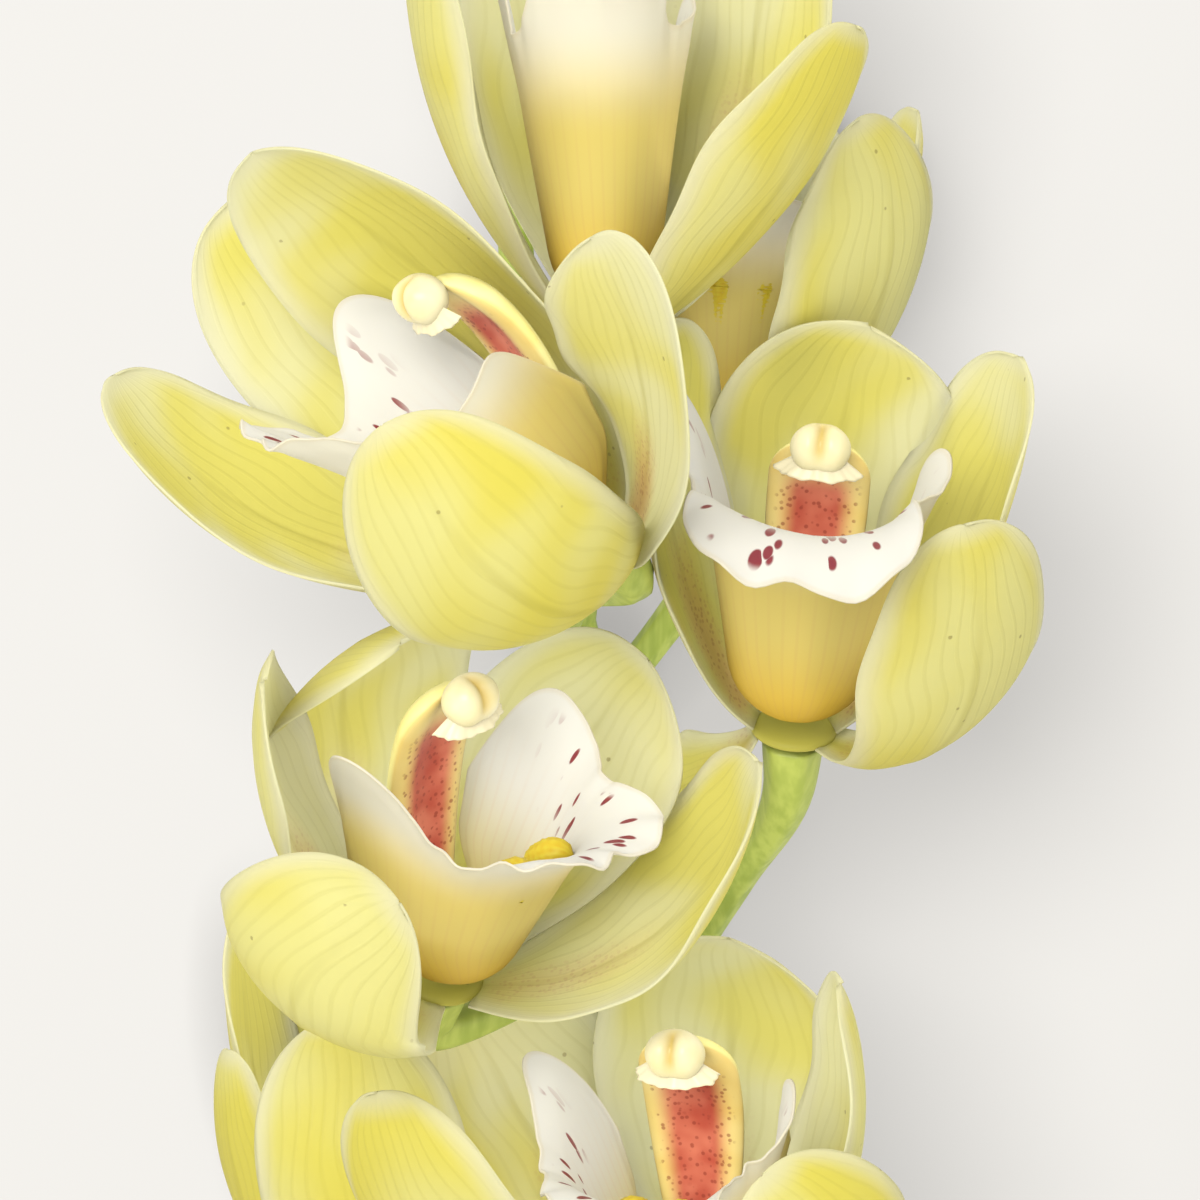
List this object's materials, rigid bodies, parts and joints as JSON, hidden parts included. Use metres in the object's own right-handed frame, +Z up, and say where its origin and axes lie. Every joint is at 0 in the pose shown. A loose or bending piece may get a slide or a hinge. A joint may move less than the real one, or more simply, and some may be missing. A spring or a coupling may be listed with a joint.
{
  "type": "cut cymbidium orchid stem",
  "caption": "Cut flowering stem of a cymbidium orchid with pale yellow-green blooms, cream lips dashed with maroon, yellow keels and red-flushed columns, lying down.",
  "frame": {"origin": "under the middle of the stem's bounding box, on the surface it lies on", "axes": "+Y along the stem from its cut end to its tip, +Z up from the surface it lies on, +X to the right"},
  "size_m": [0.1092, 0.393, 0.0985],
  "materials": {
    "stem": "satin",
    "tepal": "satin",
    "lip": "satin",
    "column": "satin",
    "anther_cap": "satin"
  },
  "bodies": {
    "root": {"flower_stem": "stem", "bloom_1_tepals": "tepal", "bloom_1_lip": "lip", "bloom_1_column": "column", "bloom_1_anther_cap": "anther_cap", "bloom_2_tepals": "tepal", "bloom_2_lip": "lip", "bloom_2_column": "column", "bloom_2_anther_cap": "anther_cap", "bloom_3_tepals": "tepal", "bloom_3_lip": "lip", "bloom_3_column": "column", "bloom_3_anther_cap": "anther_cap", "bloom_4_tepals": "tepal", "bloom_4_lip": "lip", "bloom_4_column": "column", "bloom_4_anther_cap": "anther_cap", "bloom_5_tepals": "tepal", "bloom_5_lip": "lip", "bloom_5_column": "column", "bloom_5_anther_cap": "anther_cap", "bloom_6_tepals": "tepal", "bloom_6_lip": "lip", "bloom_6_column": "column", "bloom_6_anther_cap": "anther_cap", "bloom_7_tepals": "tepal", "bloom_7_lip": "lip", "bloom_7_column": "column", "bloom_7_anther_cap": "anther_cap"}
  },
  "joints": []
}
